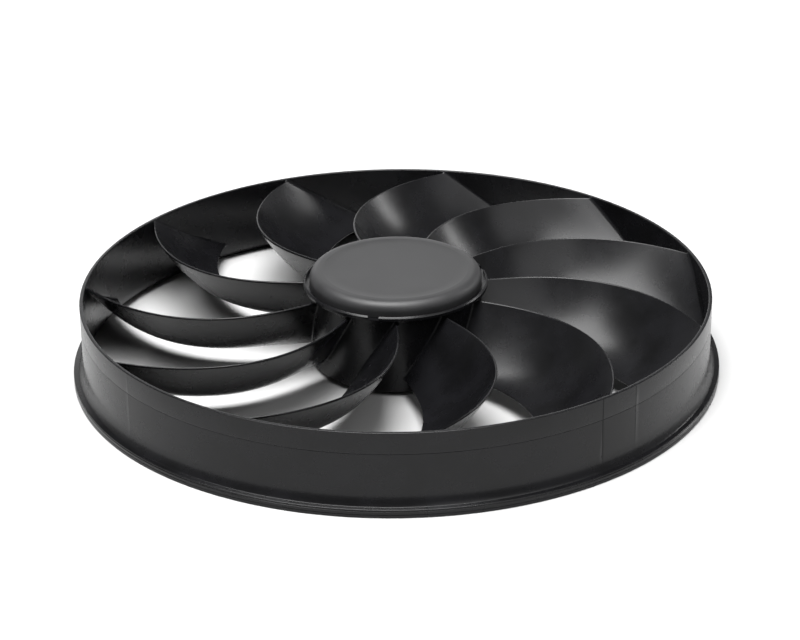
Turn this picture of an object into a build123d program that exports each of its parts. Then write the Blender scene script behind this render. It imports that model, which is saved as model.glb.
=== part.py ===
"""Banded axial fan impeller: outer ring, eleven swept blades and a cupped hub
moulded in one piece, a clip-in hub cap, and three steel sleeves for the motor screws.

Millimetres. The origin is on the rotor axis, in the plane that the ring stands on, +Z up.
"""
import os
from math import atan2, cos, degrees, pi, radians, sin, tan

from build123d import *

os.makedirs("parts", exist_ok=True)

# Ring: a thin upright band that opens into a bell mouth and a rolled lip at its foot.
# Rounds are drawn as short straight sides.
ring_radius = 190.0
ring_height = 49.0
ring_wall = 2.2
lip_overhang = 6.0
lip_height = 4.6
lip_chamfer = 0.5
lip_bead_height = 0.4
lip_groove_depth = 0.4
foot_fillet = 4.8
round_sides = 3

# Hub: a cup that is open below for the motor, with a thin collar round the cap's seat
hub_radius = 50.9
hub_wall = 2.6
hub_ground_gap = 3.2
plate_rise = 2.8
plate_thickness = 2.8
collar_overhang = 4.7
collar_wall = 1.2
collar_rise = 2.2
collar_lip_depth = 2.7
collar_notch_width = 6.6
collar_notch_azimuth = -103.9
fixing_count = 3

# Blades: leading edges just under the rim, trailing edges well above the foot.
# The four angles of an edge steer it from the hub to the ring, and camber is a share of its fall.
blade_count = 11
blade_azimuth = 0.0
leading_azimuths = (139.2, 143.6, 131.1, 112.5)
trailing_azimuths = (112.4, 121.6, 110.9, 94.4)
leading_drop_root = 0.6
leading_drop_tip = 2.1
trailing_height = 11.6
camber_root = 0.035
camber_middle = 0.225
camber_tip = 0.05
leading_thickness = 1.5
middle_thickness = 2.4
trailing_thickness = 1.1
thickest_place = 0.4
section_count = 5
section_sides = 4

# Motor fixings inside the hub
pilot_bore_radius = 10.0
pilot_boss_wall = 4.0
screw_circle_radius = 32.0
sleeve_bore_radius = 2.75
sleeve_wall = 1.5
screw_boss_wall = 2.5
boss_depth = 6.0
rib_thickness = 1.8
rib_count = 6
rib_depth = 5.0

# Hub cap
cap_gap = 2.5
cap_height = 9.3
cap_edge_round = 5.7
cap_wall = 2.0
cap_border = 9.4
cap_dish_depth = 0.35
hook_inset = 3.6
hook_width = 8.0
hook_thickness = 1.6
hook_catch = 0.9
hook_catch_height = 2.2
hook_clearance = 0.3

# Places that follow from the sizes above
ring_bore = ring_radius - ring_wall
lip_radius = ring_radius + lip_overhang
hub_bore = hub_radius - hub_wall
plate_top = ring_height + plate_rise
plate_bottom = plate_top - plate_thickness
collar_radius = hub_radius + collar_overhang
collar_top = plate_top + collar_rise
collar_lip_bottom = collar_top - collar_lip_depth
boss_bottom = plate_bottom - boss_depth
sleeve_radius = sleeve_bore_radius + sleeve_wall
fixing_azimuth = collar_notch_azimuth + 180 / fixing_count
blade_span = ring_bore - hub_radius
cap_radius = collar_radius - collar_wall - cap_gap
cap_top = plate_top + cap_height
cap_dish_radius = cap_radius - cap_border
hook_circle_radius = hub_bore - hook_inset - hook_catch - hook_thickness / 2


def spoke_point(radius, azimuth, height=0.0):
    """A point given by its distance from the axis, its compass angle and its height."""
    return (radius * cos(radians(azimuth)), radius * sin(radians(azimuth)), height)


def round_corners(centre, radius, start, end):
    """Corners of a round in a revolved profile, from one angle about its centre to another."""
    turn = (end - start) / round_sides
    angles = [radians(start + n * turn) for n in range(round_sides + 1)]
    return [(centre[0] + radius * cos(angle), centre[1] + radius * sin(angle)) for angle in angles]


def along_cubic(values, share):
    """A smooth cubic through the first and last value, steered by the two between them."""
    rest = 1 - share
    first, second, third, last = values
    return (first * rest**3 + 3 * second * rest**2 * share
            + 3 * third * rest * share**2 + last * share**3)


def mean_surface(radius, chord_share):
    """Azimuth and height of the blade's middle surface, 0 at the leading edge, 1 at the trailing."""
    span_share = (radius - hub_radius) / blade_span
    leading = along_cubic(leading_azimuths, span_share)
    trailing = along_cubic(trailing_azimuths, span_share)
    drop = leading_drop_tip - (leading_drop_tip - leading_drop_root) * (1 - span_share)**2
    ends = camber_root + (camber_tip - camber_root) * span_share
    bow = 4 * span_share * (1 - span_share)
    camber = ends + (camber_middle - (camber_root + camber_tip) / 2) * bow
    fall = chord_share + 4 * camber * chord_share * (1 - chord_share)
    top = ring_height - drop
    return leading + (trailing - leading) * chord_share, top - (top - trailing_height) * fall


def section_azimuth(radius):
    """Compass angle of the section plane: the middle of the chord at this radius."""
    return (mean_surface(radius, 0)[0] + mean_surface(radius, 1)[0]) / 2


def section_point(plane_radius, chord_share, tries=5):
    """The middle surface where it crosses a flat plane that stands square to its spoke."""
    radius = plane_radius
    for _ in range(tries):
        azimuth, height = mean_surface(radius, chord_share)
        turn = radians(azimuth - section_azimuth(plane_radius))
        radius = plane_radius / cos(turn)
    return plane_radius * tan(turn), height


def blade_thickness(chord_share):
    """Thin at both edges and fullest at thickest_place."""
    if chord_share < thickest_place:
        edge, share = leading_thickness, chord_share / thickest_place
    else:
        edge, share = trailing_thickness, (1 - chord_share) / (1 - thickest_place)
    return edge + (middle_thickness - edge) * sin(share * pi / 2)


def section_outline(plane_radius):
    """Corners along the upper and the lower face of one blade section, from the leading edge."""
    step = 1 / section_sides
    middles = [section_point(plane_radius, n * step) for n in range(section_sides + 1)]
    upper, lower = [], []
    for n, (across, up) in enumerate(middles):
        before = middles[max(n - 1, 0)]
        after = middles[min(n + 1, section_sides)]
        heading = atan2(after[1] - before[1], after[0] - before[0])
        half = blade_thickness(n * step) / 2
        upper.append((across + half * sin(heading), up - half * cos(heading)))
        lower.append((across - half * sin(heading), up + half * cos(heading)))
    return upper, lower


def section_plane(plane_radius):
    """The plane of one blade section, its X along the rim and its Y up."""
    azimuth = section_azimuth(plane_radius)
    return Plane(origin=spoke_point(plane_radius, azimuth),
                 x_dir=spoke_point(1, azimuth + 90), z_dir=spoke_point(1, azimuth))


# One blade, lofted through flat sections and trimmed to end inside the hub wall and the ring
innermost_section = hub_bore - 2 * hub_wall
outermost_section = ring_radius + ring_wall
section_gap = (outermost_section - innermost_section) / (section_count - 1)
with BuildPart() as blade:
    for number in range(section_count):
        section_radius = innermost_section + number * section_gap
        upper_points, lower_points = section_outline(section_radius)
        with BuildSketch(section_plane(section_radius)):
            with BuildLine():
                Polyline(*upper_points, *reversed(lower_points), close=True)
            make_face()
    loft()
    with BuildSketch(Plane.XY):
        Circle(ring_bore + ring_wall / 2)
        Circle(hub_radius - hub_wall / 2, mode=Mode.SUBTRACT)
    extrude(amount=ring_height, mode=Mode.INTERSECT)

# The moulding: ring, hub cup and blades in one piece
lip_top = lip_height + lip_chamfer
fillet_top = lip_top + foot_fillet
mouth_flare = lip_overhang
mouth_radius = (mouth_flare**2 + fillet_top**2) / (2 * mouth_flare)
mouth_sweep = degrees(atan2(fillet_top, mouth_radius - mouth_flare))
mouth_corners = round_corners((ring_bore + mouth_radius, fillet_top), mouth_radius, 180 + mouth_sweep, 180)
fillet_corners = round_corners((ring_radius + foot_fillet, fillet_top), foot_fillet, 180, 270)
groove_bottom = lip_height - lip_bead_height - 2 * lip_groove_depth
rib_start = pilot_bore_radius + pilot_boss_wall / 2
rib_end = hub_bore + hub_wall / 2
rib_middle = (rib_start + rib_end) / 2
rib_length = rib_end - rib_start
with BuildPart() as impeller:
    with BuildSketch(Plane.XZ):
        with BuildLine():
            Polyline(*mouth_corners, (ring_bore, ring_height), (ring_radius, ring_height),
                     *fillet_corners, (lip_radius - lip_chamfer, lip_top), (lip_radius, lip_height),
                     (lip_radius, groove_bottom + 2 * lip_groove_depth),
                     (lip_radius - lip_groove_depth, groove_bottom + lip_groove_depth),
                     (lip_radius, groove_bottom), (lip_radius, 0), close=True)
        make_face()
    revolve(axis=Axis.Z)
    with BuildSketch(Plane.XZ):
        with BuildLine():
            Polyline((hub_bore, hub_ground_gap), (hub_radius, hub_ground_gap),
                     (hub_radius, plate_bottom), (collar_radius, collar_lip_bottom),
                     (collar_radius, collar_top), (collar_radius - collar_wall, collar_top),
                     (collar_radius - collar_wall, plate_top), (0, plate_top),
                     (0, plate_bottom), (hub_bore, plate_bottom), close=True)
        make_face()
    revolve(axis=Axis.Z)
    # Notches in the collar, one over each cap hook
    with BuildSketch(Plane.XY.offset(plate_top)):
        with PolarLocations(collar_radius - collar_wall / 2, fixing_count, start_angle=collar_notch_azimuth):
            Rectangle(2 * collar_wall, collar_notch_width)
    extrude(amount=collar_rise, mode=Mode.SUBTRACT)
    # Bosses under the plate, and ribs that run between them to the cup's wall
    with BuildSketch(Plane.XY.offset(plate_bottom)):
        Circle(pilot_bore_radius + pilot_boss_wall)
        with PolarLocations(screw_circle_radius, fixing_count, start_angle=fixing_azimuth):
            Circle(sleeve_radius + screw_boss_wall)
    extrude(amount=-boss_depth)
    with BuildSketch(Plane.XY.offset(plate_bottom)):
        with PolarLocations(rib_middle, rib_count, start_angle=fixing_azimuth + 180 / rib_count):
            Rectangle(rib_length, rib_thickness)
    extrude(amount=-rib_depth)
    # Pilot bore, sleeve holes and hook slots through the plate
    with BuildSketch(Plane.XY.offset(plate_top)):
        Circle(pilot_bore_radius)
        with PolarLocations(screw_circle_radius, fixing_count, start_angle=fixing_azimuth):
            Circle(sleeve_radius)
        with PolarLocations(hook_circle_radius - hook_catch / 2, fixing_count,
                            start_angle=collar_notch_azimuth):
            Rectangle(hook_thickness + hook_catch + 2 * hook_clearance, hook_width + 2 * hook_clearance)
    extrude(amount=-plate_thickness - boss_depth, mode=Mode.SUBTRACT)
    # The blades, evenly spaced round the axis
    with PolarLocations(0, blade_count, start_angle=blade_azimuth):
        add(blade.part)
impeller.part.label = "impeller"
export_step(impeller.part, "parts/impeller.step")

# Steel sleeves that carry the screw load, moulded into the three bosses
with BuildPart() as screw_sleeves:
    with BuildSketch(Plane.XY.offset(boss_bottom)):
        with PolarLocations(screw_circle_radius, fixing_count, start_angle=fixing_azimuth):
            Circle(sleeve_radius)
            Circle(sleeve_bore_radius, mode=Mode.SUBTRACT)
    extrude(amount=plate_top - boss_bottom)
screw_sleeves.part.label = "screw_sleeves"
export_step(screw_sleeves.part, "parts/screw_sleeves.step")

# Hub cap: a shallow dish turned upside down, with three hooks that catch under the plate
dish_centre = cap_top - cap_dish_depth
cap_corners = round_corners((cap_radius - cap_edge_round, cap_top - cap_edge_round), cap_edge_round, 0, 90)
with BuildPart() as hub_cap:
    with BuildSketch(Plane.XZ):
        with BuildLine():
            Polyline((cap_radius - cap_wall, plate_top), (cap_radius, plate_top), *cap_corners,
                     (cap_dish_radius, cap_top), (cap_dish_radius - cap_dish_depth, dish_centre),
                     (0, dish_centre), (0, dish_centre - cap_wall),
                     (cap_radius - cap_edge_round, dish_centre - cap_wall),
                     (cap_radius - cap_wall, dish_centre - cap_edge_round), close=True)
        make_face()
    revolve(axis=Axis.Z)
    with BuildSketch(Plane.XY.offset(dish_centre - cap_wall)):
        with PolarLocations(hook_circle_radius, fixing_count, start_angle=collar_notch_azimuth):
            Rectangle(hook_thickness, hook_width)
    extrude(amount=plate_bottom - hook_catch_height - (dish_centre - cap_wall))
    with BuildSketch(Plane.XY.offset(plate_bottom)):
        with PolarLocations(hook_circle_radius + (hook_thickness + hook_catch) / 2, fixing_count,
                            start_angle=collar_notch_azimuth):
            Rectangle(hook_catch, hook_width)
    extrude(amount=-hook_catch_height)
hub_cap.part.label = "hub_cap"
export_step(hub_cap.part, "parts/hub_cap.step")
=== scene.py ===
"""Studio picture of a banded axial fan impeller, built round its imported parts.

Metres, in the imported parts' frame: +Z is the rotor axis and z = 0 is the plane the ring stands on.
"""

from math import atan2, cos, pi, radians, sin, sqrt, tan

import bmesh
import bpy
from bpy.props import FloatProperty, FloatVectorProperty, IntProperty, PointerProperty, StringProperty
from mathutils import Matrix, Quaternion, Vector


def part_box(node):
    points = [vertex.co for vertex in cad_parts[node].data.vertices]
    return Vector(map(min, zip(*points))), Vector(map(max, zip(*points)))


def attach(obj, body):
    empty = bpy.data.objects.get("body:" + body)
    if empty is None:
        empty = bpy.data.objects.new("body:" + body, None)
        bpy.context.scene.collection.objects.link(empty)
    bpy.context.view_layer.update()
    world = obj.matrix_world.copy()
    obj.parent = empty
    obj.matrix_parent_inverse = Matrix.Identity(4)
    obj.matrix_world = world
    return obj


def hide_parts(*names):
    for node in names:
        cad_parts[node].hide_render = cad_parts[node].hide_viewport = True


bl_info = {
    "name": "Axial Fan Impeller",
    "version": (1, 0, 0),
    "blender": (4, 5, 0),
    "location": "View3D > Sidebar > Impeller",
    "description": "Builds a moulded banded fan impeller with its hub cap, sleeves and studio",
    "category": "Mesh",
}

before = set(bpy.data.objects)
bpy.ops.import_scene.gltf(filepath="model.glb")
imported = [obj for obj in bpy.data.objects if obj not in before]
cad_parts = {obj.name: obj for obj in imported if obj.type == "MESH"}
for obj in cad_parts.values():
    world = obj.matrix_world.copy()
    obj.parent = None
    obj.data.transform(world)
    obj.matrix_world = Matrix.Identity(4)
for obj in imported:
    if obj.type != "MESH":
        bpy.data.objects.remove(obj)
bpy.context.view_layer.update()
impeller_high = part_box("impeller")[1]
cap_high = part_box("hub_cap")[1]
sleeve_low, sleeve_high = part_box("screw_sleeves")

MM = 0.001
WELD_DISTANCE = 1e-7
STRAIGHT = radians(179.9)
SHARP_EDGE = radians(42)
RING_SIDES = 300
HUB_SIDES = 180
CAP_SIDES = 240
SMALL_ROUND_SIDES = 48

# The Mix node's colour sockets share their names with its number sockets, so they go by number
MIX_COLOUR_A, MIX_COLOUR_B, MIX_COLOUR_RESULT = 6, 7, 2


class RingSizes(bpy.types.PropertyGroup):
    """Sizes of the outer ring, its lipped foot and the marks that the mould left on it"""

    lip_radius: FloatProperty(
        name="Lip radius", description="Outer radius of the rolled lip at the foot",
        default=impeller_high.x, unit="LENGTH")
    overhang: FloatProperty(
        name="Lip overhang", description="How far the lip stands out from the ring's wall",
        default=6.0 * MM, unit="LENGTH")
    height: FloatProperty(
        name="Ring height", description="Height of the ring above its foot",
        default=49.0 * MM, unit="LENGTH")
    wall: FloatProperty(
        name="Ring wall", description="Thickness of the ring's wall", default=2.2 * MM, unit="LENGTH")
    rim_round: FloatProperty(
        name="Rim rounding", description="Radius of the rim's two edges",
        default=0.45 * MM, unit="LENGTH")
    lip_top: FloatProperty(
        name="Lip top", description="Height of the lip's upper face", default=5.1 * MM, unit="LENGTH")
    foot_fillet: FloatProperty(
        name="Foot fillet", description="Hollow rounding where the wall starts to flare out",
        default=12.0 * MM, unit="LENGTH")
    foot_slope: FloatProperty(
        name="Foot slope", description="Lean of the flare where it meets the lip",
        default=radians(38), subtype="ANGLE")
    mouth_round: FloatProperty(
        name="Mouth rounding", description="Radius of the bell mouth inside the foot",
        default=9.6 * MM, unit="LENGTH")
    parting_height: FloatProperty(
        name="Parting line height", description="Height of the mould's parting line on the wall",
        default=36.2 * MM, unit="LENGTH")
    mark_depth: FloatProperty(
        name="Mould mark depth", description="Depth of the parting line and the slide marks",
        default=0.14 * MM, unit="LENGTH")
    mark_width: FloatProperty(
        name="Mould mark width", description="Width of the parting line and the slide marks",
        default=0.7 * MM, unit="LENGTH")
    mark_foot: FloatProperty(
        name="Mould mark foot", description="Height at which the upright slide marks fade out",
        default=13.0 * MM, unit="LENGTH")
    slide_groove: FloatProperty(
        name="Slide groove", description="Compass angle of the upright sunk slide mark",
        default=radians(-53.2), subtype="ANGLE")
    slide_ridge: FloatProperty(
        name="Slide ridge", description="Compass angle of the upright raised slide mark",
        default=radians(-45.3), subtype="ANGLE")
    second_ridge: FloatProperty(
        name="Second slide ridge", description="Compass angle of the faint mark on the other side",
        default=radians(-143.0), subtype="ANGLE")


class BladeSizes(bpy.types.PropertyGroup):
    """Sizes of the swept and cambered blades"""

    count: IntProperty(name="Blades", description="Number of blades", default=11, min=2)
    leading: FloatVectorProperty(
        name="Leading edge", description="Compass angles that steer the leading edge, hub to ring",
        default=[radians(a) for a in (139.2, 143.6, 131.1, 112.5)], size=4, subtype="EULER", unit="ROTATION")
    trailing: FloatVectorProperty(
        name="Trailing edge", description="Compass angles that steer the trailing edge, hub to ring",
        default=[radians(a) for a in (112.4, 121.6, 110.9, 94.4)], size=4, subtype="EULER", unit="ROTATION")
    drop_root: FloatProperty(
        name="Drop at hub", description="Leading edge below the rim at the hub",
        default=0.6 * MM, unit="LENGTH")
    drop_tip: FloatProperty(
        name="Drop at ring", description="Leading edge below the rim at the ring",
        default=2.1 * MM, unit="LENGTH")
    trailing_height: FloatProperty(
        name="Trailing height", description="Trailing edge above the foot",
        default=11.6 * MM, unit="LENGTH")
    camber: FloatVectorProperty(
        name="Camber", description="Bow of the section at the hub, halfway and at the ring",
        default=(0.035, 0.225, 0.05), size=3)
    thickness: FloatVectorProperty(
        name="Thickness", description="Thickness at leading edge, fullest place and trailing edge",
        default=(1.5 * MM, 2.4 * MM, 1.1 * MM), size=3, unit="LENGTH")
    fullest: FloatProperty(
        name="Fullest place", description="Share of the chord at which the blade is thickest",
        default=0.4, min=0.1, max=0.9)
    root_fillet: FloatProperty(
        name="Root fillet", description="Rounding where a blade meets the hub and the ring",
        default=1.3 * MM, unit="LENGTH")


class HubSizes(bpy.types.PropertyGroup):
    """Sizes of the hub cup, its collar and the fixings under its plate"""

    radius: FloatProperty(
        name="Hub radius", description="Outer radius of the hub cup", default=50.9 * MM, unit="LENGTH")
    wall: FloatProperty(
        name="Hub wall", description="Thickness of the hub cup's wall", default=2.6 * MM, unit="LENGTH")
    foot: FloatProperty(
        name="Hub foot", description="Height of the hub cup's lower edge", default=3.2 * MM, unit="LENGTH")
    plate_top: FloatProperty(
        name="Plate top", description="Height of the plate that the cap stands on",
        default=impeller_high.z - 2.2 * MM, unit="LENGTH")
    plate: FloatProperty(
        name="Plate thickness", description="Thickness of the hub plate", default=2.8 * MM, unit="LENGTH")
    collar_overhang: FloatProperty(
        name="Collar overhang", description="How far the collar stands out from the hub",
        default=4.7 * MM, unit="LENGTH")
    collar_wall: FloatProperty(
        name="Collar wall", description="Thickness of the collar's rim", default=1.2 * MM, unit="LENGTH")
    collar_chamfer: FloatProperty(
        name="Collar chamfer", description="Sloped outer edge on the collar's rim",
        default=0.9 * MM, unit="LENGTH")
    collar_lip: FloatProperty(
        name="Collar face", description="Height of the collar's upright outer face",
        default=2.7 * MM, unit="LENGTH")
    notch_width: FloatProperty(
        name="Notch width", description="Width of the collar's notches", default=6.6 * MM, unit="LENGTH")
    notch_azimuth: FloatProperty(
        name="Notch place", description="Compass angle of the first notch",
        default=radians(-103.9), subtype="ANGLE")
    fixings: IntProperty(
        name="Fixings", description="Number of notches, hooks and motor screws", default=3, min=2)
    bore: FloatProperty(
        name="Pilot bore", description="Radius of the bore for the motor's spigot",
        default=10.0 * MM, unit="LENGTH")
    bore_wall: FloatProperty(
        name="Pilot boss wall", description="Wall round the pilot bore", default=4.0 * MM, unit="LENGTH")
    boss_drop: FloatProperty(
        name="Boss depth", description="How far the bosses reach below the plate",
        default=6.0 * MM, unit="LENGTH")
    boss_wall: FloatProperty(
        name="Screw boss wall", description="Wall round each screw sleeve",
        default=2.5 * MM, unit="LENGTH")
    screw_circle: FloatProperty(
        name="Screw circle", description="Radius of the circle that the screws stand on",
        default=32.0 * MM, unit="LENGTH")
    ribs: IntProperty(name="Ribs", description="Number of ribs under the plate", default=6, min=0)
    rib_width: FloatProperty(
        name="Rib width", description="Thickness of each rib", default=1.8 * MM, unit="LENGTH")
    rib_drop: FloatProperty(
        name="Rib depth", description="How far the ribs reach below the plate",
        default=5.0 * MM, unit="LENGTH")


class SleeveSizes(bpy.types.PropertyGroup):
    """Sizes of the steel sleeves in the screw bosses"""

    bore: FloatProperty(
        name="Sleeve bore", description="Inner radius of a sleeve", default=2.75 * MM, unit="LENGTH")
    wall: FloatProperty(
        name="Sleeve wall", description="Wall of a sleeve", default=1.5 * MM, unit="LENGTH")
    chamfer: FloatProperty(
        name="Sleeve rounding", description="Rounding of a sleeve's edges",
        default=0.25 * MM, unit="LENGTH")


class CapSizes(bpy.types.PropertyGroup):
    """Sizes of the clip-in hub cap"""

    radius: FloatProperty(
        name="Cap radius", description="Outer radius of the cap", default=cap_high.x, unit="LENGTH")
    top: FloatProperty(
        name="Cap top", description="Height of the cap's top", default=cap_high.z, unit="LENGTH")
    wall: FloatProperty(
        name="Cap wall", description="Thickness of the cap", default=2.0 * MM, unit="LENGTH")
    edge_round: FloatProperty(
        name="Cap edge rounding", description="Radius of the cap's outer edge",
        default=5.7 * MM, unit="LENGTH")
    border: FloatProperty(
        name="Cap border", description="Width of the raised border round the shallow dish",
        default=9.4 * MM, unit="LENGTH")
    dish: FloatProperty(
        name="Dish depth", description="Depth of the dish in the cap's top",
        default=0.35 * MM, unit="LENGTH")
    hook_circle: FloatProperty(
        name="Hook circle", description="Radius of the circle that the hooks stand on",
        default=43.0 * MM, unit="LENGTH")
    hook_width: FloatProperty(
        name="Hook width", description="Width of each hook", default=8.0 * MM, unit="LENGTH")
    hook: FloatProperty(
        name="Hook thickness", description="Thickness of each hook", default=1.6 * MM, unit="LENGTH")
    catch: FloatProperty(
        name="Hook catch", description="How far a hook's nose stands out", default=0.9 * MM, unit="LENGTH")
    catch_height: FloatProperty(
        name="Catch height", description="Height of a hook's nose", default=2.2 * MM, unit="LENGTH")
    clearance: FloatProperty(
        name="Hook clearance", description="Gap between a hook and its slot",
        default=0.3 * MM, unit="LENGTH")


class FinishColours(bpy.types.PropertyGroup):
    """Colours of the pieces, as sRGB hex values"""

    impeller_dark: StringProperty(
        name="Impeller", description="Colour of the moulded polyamide", default="#0b0b0c")
    impeller_light: StringProperty(
        name="Impeller, flow marks", description="Colour where the glass fibres lie near the skin",
        default="#111113")
    cap_dark: StringProperty(
        name="Cap", description="Colour of the cap's fine matte skin", default="#212122")
    cap_light: StringProperty(
        name="Cap, rubbed", description="Colour where the cap's skin is rubbed", default="#282829")
    sleeve: StringProperty(name="Sleeves", description="Colour of the zinc plating", default="#c9c9c4")
    floor: StringProperty(name="Floor", description="Colour of the studio floor", default="#b6b6b6")


class StudioSettings(bpy.types.PropertyGroup):
    """Camera, floor and light"""

    lens: FloatProperty(
        name="Lens", description="Focal length in millimetres on a 36 mm sensor", default=113.5)
    aim: FloatVectorProperty(
        name="Aim", description="Point that the camera looks at",
        default=(2.41 * MM, 0.0, 26.35 * MM), size=3, subtype="TRANSLATION")
    distance: FloatProperty(
        name="Distance", description="From the aim to the camera", default=1.5326, unit="LENGTH")
    elevation: FloatProperty(
        name="Elevation", description="Height of the camera above the horizon",
        default=radians(25.302), subtype="ANGLE")
    roll: FloatProperty(
        name="Roll", description="Turn of the camera about its own axis",
        default=radians(-0.6305), subtype="ANGLE")
    floor_size: FloatProperty(
        name="Floor size", description="Side of the floor", default=9.0, unit="LENGTH")


# Helpers for outlines and meshes


def rounded_outline(corners, step=radians(9)):
    """A closed outline through corners (x, y, radius), each corner turned into a tangent arc."""
    points = []
    for n, (x, y, radius) in enumerate(corners):
        here = Vector((x, y))
        before = (Vector(corners[n - 1][:2]) - here).normalized()
        after = (Vector(corners[(n + 1) % len(corners)][:2]) - here).normalized()
        opening = before.angle(after)
        if radius == 0 or opening > STRAIGHT:
            points.append((x, y))
            continue
        reach = radius / tan(opening / 2)
        start, end = here + before * reach, here + after * reach
        centre = here + (before + after).normalized() * (radius / sin(opening / 2))
        steps = max(2, round((pi - opening) / step))
        for k in range(steps + 1):
            share = k / steps
            turn = (start - centre).angle_signed(end - centre) * share
            points.append(tuple(centre + Matrix.Rotation(-turn, 2) @ (start - centre)))
    return points


def wall_rows(radius, low, high, spacing=3.0 * MM):
    """Outline points up a plain upright wall, so that what meets it cuts only small faces."""
    count = max(1, round((high - low) / spacing))
    return [(radius, low + (high - low) * n / count, 0) for n in range(count + 1)]


def even_angles(steps, extra=()):
    """Angles round a full turn, evenly spaced, with extra ones put in between."""
    return sorted([2 * pi * n / steps - pi for n in range(steps)] + list(extra))


def mesh_from_grid(rows):
    """Vertices and faces of a grid of points that closes on itself both ways."""
    count, width = len(rows), len(rows[0])
    vertices = [point for row in rows for point in row]
    faces = []
    for i in range(count):
        for j in range(width):
            a, b = i * width, (i + 1) % count * width
            k = (j + 1) % width
            faces.append((a + j, b + j, b + k, a + k))
    return vertices, faces


def revolve(outline, angles):
    """A closed mesh: an outline of (radius, height) turned about the rotor axis."""
    rows = [[(r * cos(a), r * sin(a), z) for r, z in outline] for a in angles]
    return mesh_from_grid(rows)


def new_object(name, vertices, faces):
    """A new object, its doubled points welded and its faces turned outward."""
    mesh = bpy.data.meshes.new(name)
    mesh.from_pydata(vertices, [], faces)
    shape = bmesh.new()
    shape.from_mesh(mesh)
    bmesh.ops.remove_doubles(shape, verts=shape.verts, dist=WELD_DISTANCE)
    bmesh.ops.recalc_face_normals(shape, faces=shape.faces)
    shape.to_mesh(mesh)
    shape.free()
    made = bpy.data.objects.new(name, mesh)
    bpy.context.scene.collection.objects.link(made)
    return made


def upright_prism(outline, low, high):
    """A closed mesh: a flat outline of (x, y) drawn up from one height to another."""
    count = len(outline)
    vertices = [(x, y, low) for x, y in outline] + [(x, y, high) for x, y in outline]
    sides = [(n, (n + 1) % count, (n + 1) % count + count, n + count) for n in range(count)]
    return vertices, [tuple(reversed(range(count))), tuple(range(count, 2 * count)), *sides]


def turned(shape, angle):
    """The same mesh turned about the rotor axis."""
    vertices, faces = shape
    c, s = cos(angle), sin(angle)
    return [(x * c - y * s, x * s + y * c, z) for x, y, z in vertices], faces


def moved(shape, x, y):
    """The same mesh moved level."""
    vertices, faces = shape
    return [(a + x, b + y, z) for a, b, z in vertices], faces


def joined(shapes):
    """Several meshes as one list of vertices and faces."""
    vertices, faces = [], []
    for points, polygons in shapes:
        start = len(vertices)
        vertices.extend(points)
        faces.extend(tuple(start + n for n in face) for face in polygons)
    return vertices, faces


def combine(piece, shape, operation):
    """Adds a closed mesh to the piece, or cuts it away, as solids."""
    tool = new_object(piece.name + "_tool", *shape)
    change = piece.modifiers.new("combine", "BOOLEAN")
    change.operation = operation
    change.solver = "MANIFOLD"
    change.object = tool
    bpy.context.view_layer.update()
    result = bpy.data.meshes.new_from_object(piece.evaluated_get(bpy.context.evaluated_depsgraph_get()))
    piece.modifiers.clear()
    old = piece.data
    piece.data = result
    result.name = piece.name
    bpy.data.meshes.remove(old)
    bpy.data.objects.remove(tool)


def finish_piece(piece, node, material):
    """Shades the piece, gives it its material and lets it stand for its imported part."""
    piece.data.materials.clear()
    piece.data.materials.append(material)
    piece.data.shade_smooth()
    piece.data.set_sharp_from_angle(angle=SHARP_EDGE)
    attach(piece, "root")
    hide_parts(node)


# Materials


def linear_colour(hex_code):
    """An sRGB hex value as linear red, green, blue and alpha."""
    channels = [int(hex_code[n:n + 2], 16) / 255 for n in (1, 3, 5)]
    return [c / 12.92 if c <= 0.04045 else ((c + 0.055) / 1.055)**2.4 for c in channels] + [1.0]


def add_node(tree, kind, settings=None, **inputs):
    """Adds a node. Settings are its own values, inputs are socket values or links by socket name."""
    node = tree.nodes.new(kind)
    for key, value in (settings or {}).items():
        setattr(node, key, value)
    for key, value in inputs.items():
        socket = node.inputs[key.replace("_", " ")]
        if isinstance(value, bpy.types.NodeSocket):
            tree.links.new(value, socket)
        else:
            socket.default_value = value
    return node


def new_material(name):
    """An empty node material and its tree."""
    material = bpy.data.materials.new(name)
    material.use_nodes = True
    material.node_tree.nodes.clear()
    return material, material.node_tree


def ramp_between(tree, factor, low, high, start=0.0, end=1.0):
    """Turns a 0 to 1 pattern into a value between low and high."""
    return add_node(tree, "ShaderNodeMapRange", None, Value=factor, From_Min=start, From_Max=end,
                    To_Min=low, To_Max=high).outputs["Result"]


def tint_between(tree, factor, dark, light):
    """Blends two sRGB hex colours by a 0 to 1 pattern."""
    blend = add_node(tree, "ShaderNodeMix", {"data_type": "RGBA"}, Factor=factor)
    blend.inputs[MIX_COLOUR_A].default_value = linear_colour(dark)
    blend.inputs[MIX_COLOUR_B].default_value = linear_colour(light)
    return blend.outputs[MIX_COLOUR_RESULT]


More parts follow.
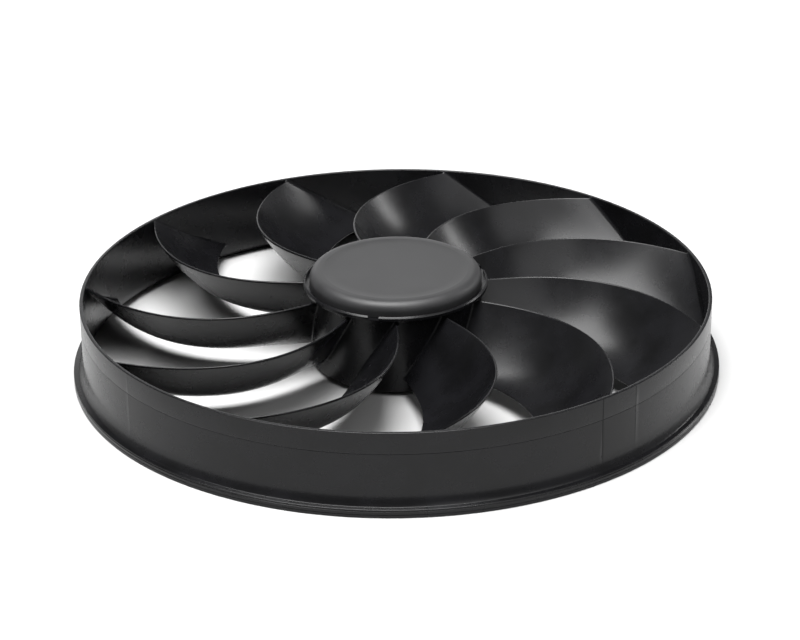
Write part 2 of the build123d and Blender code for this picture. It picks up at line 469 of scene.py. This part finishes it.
def moulded_polyamide():
    """Glass-filled polyamide from a polished steel mould: a satin black skin. The eye sees wide soft
    highlights, faint cloudy flow marks where fibres lie near the skin, and a very fine grain."""
    colours = bpy.context.scene.impeller_colours
    material, tree = new_material("moulded_glass_filled_polyamide")
    place = add_node(tree, "ShaderNodeTexCoord").outputs["Object"]
    flow_width, grain_width, sink_width = 26 * MM, 0.9 * MM, 45 * MM
    flow = add_node(tree, "ShaderNodeTexNoise", None, Vector=place, Scale=1 / flow_width, Detail=4.0,
                    Roughness=0.6).outputs["Fac"]
    grain = add_node(tree, "ShaderNodeTexNoise", None, Vector=place, Scale=1 / grain_width, Detail=2.0,
                     Roughness=0.5).outputs["Fac"]
    sink = add_node(tree, "ShaderNodeTexNoise", None, Vector=place, Scale=1 / sink_width, Detail=1.0,
                    Roughness=0.4).outputs["Fac"]
    tint = tint_between(tree, ramp_between(tree, flow, 0.0, 1.0, 0.35, 0.65),
                        colours.impeller_dark, colours.impeller_light)
    fine = add_node(tree, "ShaderNodeBump", None, Height=grain, Distance=0.005 * MM, Strength=1.0)
    wavy = add_node(tree, "ShaderNodeBump", None, Height=sink, Distance=0.06 * MM, Strength=1.0,
                    Normal=fine.outputs["Normal"])
    skin = add_node(tree, "ShaderNodeBsdfPrincipled", None, Base_Color=tint,
                    Roughness=ramp_between(tree, flow, 0.24, 0.30, 0.3, 0.7), IOR=1.53,
                    Specular_IOR_Level=0.24, Normal=wavy.outputs["Normal"])
    add_node(tree, "ShaderNodeOutputMaterial", None, Surface=skin.outputs["BSDF"])
    return material


def matte_cap_skin():
    """Polyamide from a spark-eroded mould: a fine even matte skin, a little greyer than the blades.
    The eye sees a flat soft sheen with small rubbed clouds and hardly any reflection."""
    colours = bpy.context.scene.impeller_colours
    material, tree = new_material("spark_eroded_matte_polyamide")
    place = add_node(tree, "ShaderNodeTexCoord").outputs["Object"]
    cloud_width, grain_width = 18 * MM, 0.6 * MM
    cloud = add_node(tree, "ShaderNodeTexNoise", None, Vector=place, Scale=1 / cloud_width, Detail=5.0,
                     Roughness=0.6).outputs["Fac"]
    grain = add_node(tree, "ShaderNodeTexNoise", None, Vector=place, Scale=1 / grain_width, Detail=2.0,
                     Roughness=0.5).outputs["Fac"]
    tint = tint_between(tree, ramp_between(tree, cloud, 0.0, 1.0, 0.35, 0.7),
                        colours.cap_dark, colours.cap_light)
    fine = add_node(tree, "ShaderNodeBump", None, Height=grain, Distance=0.02 * MM, Strength=1.0)
    skin = add_node(tree, "ShaderNodeBsdfPrincipled", None, Base_Color=tint,
                    Roughness=ramp_between(tree, cloud, 0.46, 0.52, 0.3, 0.7), IOR=1.5,
                    Specular_IOR_Level=0.42, Normal=fine.outputs["Normal"])
    add_node(tree, "ShaderNodeOutputMaterial", None, Surface=skin.outputs["BSDF"])
    return material


def zinc_plated_steel():
    """Turned steel with a thin zinc plating: a pale metal with faint turning rings. The eye sees a
    soft metallic gleam that breaks into fine lines round the bore."""
    colours = bpy.context.scene.impeller_colours
    material, tree = new_material("zinc_plated_turned_steel")
    place = add_node(tree, "ShaderNodeTexCoord").outputs["Object"]
    # The wave texture repeats a little over three times for each unit of its scale
    ring_pitch, repeats, cloud_width = 0.5 * MM, 3.15, 3 * MM
    rings = add_node(tree, "ShaderNodeTexWave", {"wave_type": "BANDS", "bands_direction": "Z"},
                     Vector=place, Scale=1 / (ring_pitch * repeats), Distortion=0.4).outputs["Fac"]
    cloud = add_node(tree, "ShaderNodeTexNoise", None, Vector=place, Scale=1 / cloud_width).outputs["Fac"]
    lines = add_node(tree, "ShaderNodeBump", None, Height=rings, Distance=0.01 * MM, Strength=0.6)
    skin = add_node(tree, "ShaderNodeBsdfPrincipled", None, Base_Color=linear_colour(colours.sleeve),
                    Metallic=1.0, Roughness=ramp_between(tree, cloud, 0.25, 0.4),
                    Normal=lines.outputs["Normal"])
    add_node(tree, "ShaderNodeOutputMaterial", None, Surface=skin.outputs["BSDF"])
    return material


def studio_paper():
    """Matte pale grey background paper: no gloss, and lit so brightly that the eye sees it as white."""
    material, tree = new_material("matte_pale_grey_paper")
    colour = linear_colour(bpy.context.scene.impeller_colours.floor)
    skin = add_node(tree, "ShaderNodeBsdfPrincipled", None, Base_Color=colour, Roughness=0.9,
                    Specular_IOR_Level=0.0)
    add_node(tree, "ShaderNodeOutputMaterial", None, Surface=skin.outputs["BSDF"])
    return material


# The moulding


def ring_outline(ring):
    """The ring's section, from the rim down the inside and the bell mouth, then up round the lip."""
    outer = ring.lip_radius - ring.overhang
    inner = outer - ring.wall
    mark, sunk = ring.mark_width / 2, outer - ring.mark_depth
    groove, lower_groove = 4.05 * MM, 2.1 * MM
    groove_half, groove_depth, lower_depth = 0.35 * MM, 0.4 * MM, 0.2 * MM
    mouth_edge, mouth_foot, mouth_bend = ring.lip_radius - 1.7 * MM, 0.5 * MM, 2.95 * MM
    # The flare meets the lip's upper face this far out from the wall
    foot_reach = 3.0 * MM
    plain_top = ring.height - 2 * MM
    sharp, crisp, soft, lip_round, lip_edge = 0.05 * MM, 0.15 * MM, 0.12 * MM, 0.4 * MM, 0.5 * MM
    return rounded_outline([
        (inner, ring.height, ring.rim_round),
        *reversed(wall_rows(inner, ring.mark_foot, plain_top)),
        (inner, mouth_bend, ring.mouth_round),
        (mouth_edge, mouth_foot, crisp),
        (mouth_edge, 0, crisp),
        (ring.lip_radius, 0, lip_round),
        (ring.lip_radius, lower_groove - groove_half, soft),
        (ring.lip_radius - lower_depth, lower_groove, soft),
        (ring.lip_radius, lower_groove + groove_half, soft),
        (ring.lip_radius, groove - groove_half, soft),
        (ring.lip_radius - groove_depth, groove, soft),
        (ring.lip_radius, groove + groove_half, soft),
        (ring.lip_radius, ring.lip_top, lip_edge),
        (outer + foot_reach, ring.lip_top, lip_round),
        (outer, ring.lip_top + foot_reach / tan(ring.foot_slope), ring.foot_fillet),
        (outer, ring.parting_height - mark, sharp),
        (sunk, ring.parting_height, sharp),
        (outer, ring.parting_height + mark, sharp),
        (outer, ring.height, ring.rim_round),
    ], radians(15))


def ring_shape(ring):
    """The ring as a closed mesh, with the upright marks of the mould's slides on its outer wall."""
    outer = ring.lip_radius - ring.overhang
    mark = ring.mark_width / 2 / outer
    # How far each upright mark stands out from the wall, or is sunk into it
    marks = {ring.slide_groove: -3 * ring.mark_depth, ring.slide_ridge: ring.mark_depth,
             ring.second_ridge: 0.5 * ring.mark_depth}
    mark_top = ring.height - ring.rim_round
    extra = [place + side * mark for place in marks for side in (-1, 0, 1)]
    vertices, faces = revolve(ring_outline(ring), even_angles(RING_SIDES, extra))
    shaped = []
    for x, y, z in vertices:
        radius, angle = sqrt(x * x + y * y), atan2(y, x)
        on_wall = radius > outer - 2 * ring.mark_depth and ring.mark_foot < z < mark_top
        for place, rise in marks.items():
            if on_wall and abs(angle - place) < mark / 2:
                x, y = x * (1 + rise / radius), y * (1 + rise / radius)
        shaped.append((x, y, z))
    return shaped, faces


def along_cubic(values, share):
    """A smooth cubic through the first and last value, steered by the two between them."""
    rest = 1 - share
    first, second, third, last = values
    return (first * rest**3 + 3 * second * rest**2 * share
            + 3 * third * rest * share**2 + last * share**3)


def mean_surface(radius, chord_share):
    """Compass angle and height of a blade's middle surface, 0 at the leading edge, 1 at the trailing."""
    blade, ring, hub = (bpy.context.scene.impeller_blade, bpy.context.scene.impeller_ring,
                        bpy.context.scene.impeller_hub)
    ring_bore = ring.lip_radius - ring.overhang - ring.wall
    span_share = (radius - hub.radius) / (ring_bore - hub.radius)
    leading = along_cubic(blade.leading, span_share)
    trailing = along_cubic(blade.trailing, span_share)
    drop = blade.drop_tip - (blade.drop_tip - blade.drop_root) * (1 - span_share)**2
    root, middle, tip = blade.camber
    ends = root + (tip - root) * span_share
    camber = ends + (middle - (root + tip) / 2) * 4 * span_share * (1 - span_share)
    fall = chord_share + 4 * camber * chord_share * (1 - chord_share)
    top = ring.height - drop
    return leading + (trailing - leading) * chord_share, top - (top - blade.trailing_height) * fall


def blade_thickness(chord_share):
    """Thin at both edges and fullest at the fullest place."""
    blade = bpy.context.scene.impeller_blade
    leading, middle, trailing = blade.thickness
    if chord_share < blade.fullest:
        edge, share = leading, chord_share / blade.fullest
    else:
        edge, share = trailing, (1 - chord_share) / (1 - blade.fullest)
    return edge + (middle - edge) * sin(share * pi / 2)


def fillet_growth(distance, radius):
    """How much a blade swells where it runs into a wall this far away."""
    gap = min(max(distance, 0.0), radius)
    return radius - sqrt(radius**2 - (radius - gap)**2)


def round_edge(end, half, first, steps=6):
    """The points between the two ends of the half circle that rounds a blade's edge."""
    angles = [first + pi * k / steps for k in range(1, steps)]
    return [(end[0] + half * cos(angle), end[1] + half * sin(angle)) for angle in angles]


def blade_section(radius, growth, chord_steps=26):
    """One closed loop round the blade at this radius, with round edges, wrapped on a cylinder."""
    shares = [(1 - cos(pi * n / chord_steps)) / 2 for n in range(chord_steps + 1)]
    middles = [mean_surface(radius, share) for share in shares]
    line = [(angle * radius, height) for angle, height in middles]
    halves = [blade_thickness(share) / 2 + growth for share in shares]
    headings = []
    one_side, other_side = [], []
    for n, (across, up) in enumerate(line):
        before, after = line[max(n - 1, 0)], line[min(n + 1, chord_steps)]
        heading = atan2(after[1] - before[1], after[0] - before[0])
        headings.append(heading)
        one_side.append((across + halves[n] * sin(heading), up - halves[n] * cos(heading)))
        other_side.append((across - halves[n] * sin(heading), up + halves[n] * cos(heading)))
    loop = [*one_side, *round_edge(line[-1], halves[-1], headings[-1] - pi / 2),
            *reversed(other_side), *round_edge(line[0], halves[0], headings[0] + pi / 2)]
    return [(radius * cos(a / radius), radius * sin(a / radius), z) for a, z in loop]


def blade_shape():
    """One blade as a closed mesh that ends inside the hub's wall and inside the ring's wall."""
    scene = bpy.context.scene
    blade, ring, hub = scene.impeller_blade, scene.impeller_ring, scene.impeller_hub
    ring_bore = ring.lip_radius - ring.overhang - ring.wall
    fillet = blade.root_fillet
    sunk_in, fillet_steps, span_steps = 0.6, 6, 34
    start, end = hub.radius - sunk_in * hub.wall, ring_bore + sunk_in * ring.wall
    curve = [fillet * (1 - cos(pi / 2 * n / fillet_steps)) for n in range(fillet_steps + 1)]
    inner = [hub.radius + d for d in curve]
    outer = [ring_bore - d for d in reversed(curve)]
    middle = [inner[-1] + (outer[0] - inner[-1]) * n / span_steps for n in range(1, span_steps)]
    radii = [start, *inner, *middle, *outer, end]
    loops = []
    for radius in radii:
        growth = fillet_growth(radius - hub.radius, fillet) + fillet_growth(ring_bore - radius, fillet)
        loops.append(blade_section(radius, growth))
    width = len(loops[0])
    vertices = [point for loop in loops for point in loop]
    faces = [tuple(range(width)), tuple((len(loops) - 1) * width + n for n in reversed(range(width)))]
    for i in range(len(loops) - 1):
        for j in range(width):
            k = (j + 1) % width
            faces.append((i * width + j, (i + 1) * width + j, (i + 1) * width + k, i * width + k))
    return vertices, faces


def hub_outline(hub):
    """The hub's section: cup wall, plate with its pilot boss, and the collar round the cap's seat."""
    bore, boss = hub.bore, hub.bore + hub.bore_wall
    inside = hub.radius - hub.wall
    plate_low = hub.plate_top - hub.plate
    collar = hub.radius + hub.collar_overhang
    collar_top = impeller_high.z
    edge, corner, under_collar, lip_edge = 0.35 * MM, 1.0 * MM, 0.8 * MM, 0.4 * MM
    chamfer_edge, rim_edge, seat_corner = 0.15 * MM, 0.1 * MM, 0.3 * MM
    plain_foot, plain_top = hub.foot + 2 * MM, plate_low - 2 * MM
    return rounded_outline([
        (bore, hub.plate_top, edge),
        (bore, plate_low - hub.boss_drop, edge),
        (boss, plate_low - hub.boss_drop, edge),
        (boss, plate_low, corner),
        (inside, plate_low, corner),
        (inside, hub.foot, edge),
        (hub.radius, hub.foot, edge),
        *wall_rows(hub.radius, plain_foot, plain_top),
        (hub.radius, plate_low, under_collar),
        (collar, collar_top - hub.collar_lip, lip_edge),
        (collar, collar_top - hub.collar_chamfer, chamfer_edge),
        (collar - hub.collar_chamfer, collar_top, rim_edge),
        (collar - hub.collar_wall, collar_top, rim_edge),
        (collar - hub.collar_wall, hub.plate_top, seat_corner),
    ])


def circle_outline(radius, steps=SMALL_ROUND_SIDES):
    """A flat circle as a list of points."""
    return [(radius * cos(2 * pi * n / steps), radius * sin(2 * pi * n / steps)) for n in range(steps)]


def box_outline(low_x, high_x, width):
    """A flat rectangle along +X."""
    return [(low_x, -width / 2), (high_x, -width / 2), (high_x, width / 2), (low_x, width / 2)]


def add_bosses_and_ribs(piece, hub, sleeve):
    """Joins the screw bosses and the ribs to the hub's plate."""
    plate_low = hub.plate_top - hub.plate
    plate_middle = plate_low + hub.plate / 2
    screw_place = hub.notch_azimuth + pi / hub.fixings
    boss = upright_prism(circle_outline(sleeve.bore + sleeve.wall + hub.boss_wall),
                         plate_low - hub.boss_drop, plate_middle)
    rib = upright_prism(box_outline(hub.bore + hub.bore_wall / 2, hub.radius - hub.wall / 2, hub.rib_width),
                        plate_low - hub.rib_drop, plate_middle)
    for n in range(hub.fixings):
        angle = screw_place + n * (2 * pi / hub.fixings)
        combine(piece, turned(moved(boss, hub.screw_circle, 0), angle), "UNION")
    for n in range(hub.ribs):
        angle = screw_place + (2 * n + 1) * pi / hub.ribs
        combine(piece, turned(rib, angle), "UNION")


def cut_fixings(piece, hub, sleeve, cap):
    """Cuts the sleeves' seats, the slots for the cap's hooks and the notches in the collar."""
    top = impeller_high.z
    apart = 2 * pi / hub.fixings
    screw_place = hub.notch_azimuth + pi / hub.fixings
    hole = upright_prism(circle_outline(sleeve.bore + sleeve.wall), 0, top)
    slot_low = cap.hook_circle - cap.hook / 2 - cap.catch - cap.clearance
    slot_high = cap.hook_circle + cap.hook / 2 + cap.clearance
    slot = upright_prism(box_outline(slot_low, slot_high, cap.hook_width + 2 * cap.clearance), 0, top)
    collar = hub.radius + hub.collar_overhang
    notch = upright_prism(box_outline(collar - 3 * hub.collar_wall, collar + hub.collar_wall,
                                      hub.notch_width), hub.plate_top, top + hub.plate)
    for n in range(hub.fixings):
        combine(piece, turned(moved(hole, hub.screw_circle, 0), screw_place + n * apart), "DIFFERENCE")
        combine(piece, turned(slot, hub.notch_azimuth + n * apart), "DIFFERENCE")
        combine(piece, turned(notch, hub.notch_azimuth + n * apart), "DIFFERENCE")


class IMPELLER_OT_moulding(bpy.types.Operator):
    """Build the one-piece moulding of ring, blades and hub"""

    bl_idname = "impeller.moulding"
    bl_label = "Build Moulding"

    def execute(self, context):
        scene = context.scene
        hub, sleeve, count = scene.impeller_hub, scene.impeller_sleeve, scene.impeller_blade.count
        piece = new_object("impeller_moulding", *revolve(hub_outline(hub), even_angles(HUB_SIDES)))
        add_bosses_and_ribs(piece, hub, sleeve)
        cut_fixings(piece, hub, sleeve, scene.impeller_cap)
        one_blade = blade_shape()
        for n in range(count):
            combine(piece, turned(one_blade, 2 * pi * n / count), "UNION")
        combine(piece, ring_shape(scene.impeller_ring), "UNION")
        finish_piece(piece, "impeller", moulded_polyamide())
        return {"FINISHED"}


def cap_outline(cap, foot, steps=8):
    """The cap's section: a slightly hollow dish, its slope up to the border, and the rounded side."""
    under = cap.top - cap.dish - cap.wall
    shoulder = cap.radius - cap.border
    deepest = 1.5 * cap.dish
    middle = cap.top - deepest
    slope, slope_round, foot_edge = 1.2 * MM, 1.5 * MM, 0.3 * MM
    dish = [(shoulder * n / steps, middle + cap.dish * (n / steps)**2, 0) for n in range(steps + 1)]
    return rounded_outline([
        *dish,
        (shoulder + slope, cap.top, slope_round),
        (cap.radius, cap.top, cap.edge_round),
        (cap.radius, foot, foot_edge),
        (cap.radius - cap.wall, foot, foot_edge),
        (cap.radius - cap.wall, under, cap.edge_round - cap.wall),
        (0, under, 0),
    ], radians(6))


class IMPELLER_OT_cap(bpy.types.Operator):
    """Build the hub cap with its rounded edge, shallow dish and hooks"""

    bl_idname = "impeller.cap"
    bl_label = "Build Hub Cap"

    def execute(self, context):
        cap, hub = context.scene.impeller_cap, context.scene.impeller_hub
        outline = cap_outline(cap, hub.plate_top)
        piece = new_object("hub_cap_shell", *revolve(outline, even_angles(CAP_SIDES)))
        under = cap.top - cap.dish - cap.wall
        plate_low = hub.plate_top - hub.plate
        low = plate_low - cap.catch_height
        hook = upright_prism(box_outline(cap.hook_circle - cap.hook / 2, cap.hook_circle + cap.hook / 2,
                                         cap.hook_width), low, under + cap.wall / 2)
        nose = upright_prism(box_outline(cap.hook_circle, cap.hook_circle + cap.hook / 2 + cap.catch,
                                         cap.hook_width), low, plate_low)
        for n in range(hub.fixings):
            angle = hub.notch_azimuth + n * 2 * pi / hub.fixings
            combine(piece, turned(hook, angle), "UNION")
            combine(piece, turned(nose, angle), "UNION")
        finish_piece(piece, "hub_cap", matte_cap_skin())
        return {"FINISHED"}


class IMPELLER_OT_sleeves(bpy.types.Operator):
    """Build the steel sleeves in the hub's screw bosses"""

    bl_idname = "impeller.sleeves"
    bl_label = "Build Screw Sleeves"

    def execute(self, context):
        sleeve, hub = context.scene.impeller_sleeve, context.scene.impeller_hub
        outer, edge = sleeve.bore + sleeve.wall, sleeve.chamfer
        low, high = sleeve_low.z, sleeve_high.z
        outline = rounded_outline([(sleeve.bore, high, edge), (sleeve.bore, low, edge),
                                   (outer, low, edge), (outer, high, edge)], radians(20))
        one = moved(revolve(outline, even_angles(SMALL_ROUND_SIDES)), hub.screw_circle, 0)
        place = hub.notch_azimuth + pi / hub.fixings
        all_round = joined([turned(one, place + n * 2 * pi / hub.fixings) for n in range(hub.fixings)])
        piece = new_object("screw_sleeve_set", *all_round)
        finish_piece(piece, "screw_sleeves", zinc_plated_steel())
        return {"FINISHED"}


# Studio


def softbox(name, place, aim, size, brightness):
    """A large even light panel that faces the aim. Brightness is what a mirror would show of it."""
    lamp = bpy.data.lights.new(name, "AREA")
    lamp.shape = "RECTANGLE"
    lamp.size, lamp.size_y = size
    lamp.energy = brightness * pi * lamp.size * lamp.size_y
    panel = bpy.data.objects.new(name, lamp)
    panel.location = place
    panel.rotation_mode = "QUATERNION"
    panel.rotation_quaternion = (Vector(aim) - Vector(place)).to_track_quat("-Z", "Y")
    bpy.context.scene.collection.objects.link(panel)


def overhead_light(name, middle, height, size, brightness):
    """A softbox that looks straight down. Its middle, height and size are in metres."""
    softbox(name, (*middle, height), (*middle, 0), size, brightness)


def side_light(name, bearing, elevation, size, brightness, distance=2.2):
    """A softbox that faces the impeller, at this bearing (0 is behind, 90 to the right) in degrees."""
    level = distance * cos(radians(elevation))
    place = (level * sin(radians(bearing)), level * cos(radians(bearing)),
             distance * sin(radians(elevation)))
    softbox(name, place, (0, 0, 0), size, brightness)


def white_room():
    """A softly lit white room: brighter near the floor and dimmer higher up."""
    world = bpy.data.worlds.new("white_room")
    world.use_nodes = True
    tree = world.node_tree
    tree.nodes.clear()
    heading = add_node(tree, "ShaderNodeTexCoord").outputs["Generated"]
    rise = add_node(tree, "ShaderNodeSeparateXYZ", None, Vector=heading).outputs["Z"]
    low_glow, high_glow, bright_below, dim_above = 0.38, 0.12, sin(radians(8)), sin(radians(28))
    glow = ramp_between(tree, rise, low_glow, high_glow, bright_below, dim_above)
    light = add_node(tree, "ShaderNodeBackground", None, Color=(1, 1, 1, 1), Strength=glow)
    add_node(tree, "ShaderNodeOutputWorld", None, Surface=light.outputs["Background"])
    return world


class IMPELLER_OT_studio(bpy.types.Operator):
    """Build the floor, the soft light and the camera"""

    bl_idname = "impeller.studio"
    bl_label = "Set Up Studio"

    def execute(self, context):
        studio = context.scene.impeller_studio
        half = studio.floor_size / 2
        floor = new_object("studio_floor", [(-half, -half, 0), (half, -half, 0), (half, half, 0),
                                            (-half, half, 0)], [(0, 1, 2, 3)])
        floor.data.materials.append(studio_paper())

        camera = bpy.data.objects.new("camera", bpy.data.cameras.new("camera"))
        camera.data.lens = studio.lens
        camera.data.sensor_width = 36.0
        camera.data.clip_end = 50.0
        back = Vector((0, -cos(studio.elevation), sin(studio.elevation)))
        camera.location = Vector(studio.aim) + back * studio.distance
        camera.rotation_mode = "QUATERNION"
        camera.rotation_quaternion = (-back).to_track_quat("-Z", "Y") @ Quaternion((0, 0, 1), studio.roll)
        context.scene.collection.objects.link(camera)
        context.scene.camera = camera

        context.scene.view_settings.view_transform = "Standard"
        context.scene.world = white_room()
        overhead_light("overhead_softbox", (-0.90, -0.70), 4.0, (3.80, 2.92), 12.8)
        overhead_light("overhead_core", (-0.10, -0.10), 3.9, (1.8, 1.8), 8.3)
        side_light("backdrop", -8, 13, (1.5, 1.0), 1.45)
        side_light("rear_right_strip", 65, 23, (0.27, 0.64), 14.0)
        side_light("right_fill", 138, 46, (1.9, 0.9), 1.9)
        return {"FINISHED"}


class IMPELLER_PT_sidebar(bpy.types.Panel):
    """Lists the steps that build the impeller"""

    bl_idname = "IMPELLER_PT_sidebar"
    bl_label = "Impeller"
    bl_space_type = "VIEW_3D"
    bl_region_type = "UI"
    bl_category = "Impeller"

    def draw(self, context):
        for step in STEPS:
            self.layout.operator(step.bl_idname)


STEPS = (IMPELLER_OT_studio, IMPELLER_OT_moulding, IMPELLER_OT_cap, IMPELLER_OT_sleeves)
SETTINGS = {
    "impeller_ring": RingSizes,
    "impeller_blade": BladeSizes,
    "impeller_hub": HubSizes,
    "impeller_sleeve": SleeveSizes,
    "impeller_cap": CapSizes,
    "impeller_colours": FinishColours,
    "impeller_studio": StudioSettings,
}


def register():
    for name, group in SETTINGS.items():
        bpy.utils.register_class(group)
        setattr(bpy.types.Scene, name, PointerProperty(type=group))
    for step in STEPS:
        bpy.utils.register_class(step)
    bpy.utils.register_class(IMPELLER_PT_sidebar)


def unregister():
    bpy.utils.unregister_class(IMPELLER_PT_sidebar)
    for step in reversed(STEPS):
        bpy.utils.unregister_class(step)
    for name, group in SETTINGS.items():
        delattr(bpy.types.Scene, name)
        bpy.utils.unregister_class(group)


def main():
    register()
    bpy.ops.impeller.studio()
    bpy.ops.impeller.moulding()
    bpy.ops.impeller.cap()
    bpy.ops.impeller.sleeves()


if __name__ == "__main__":
    main()
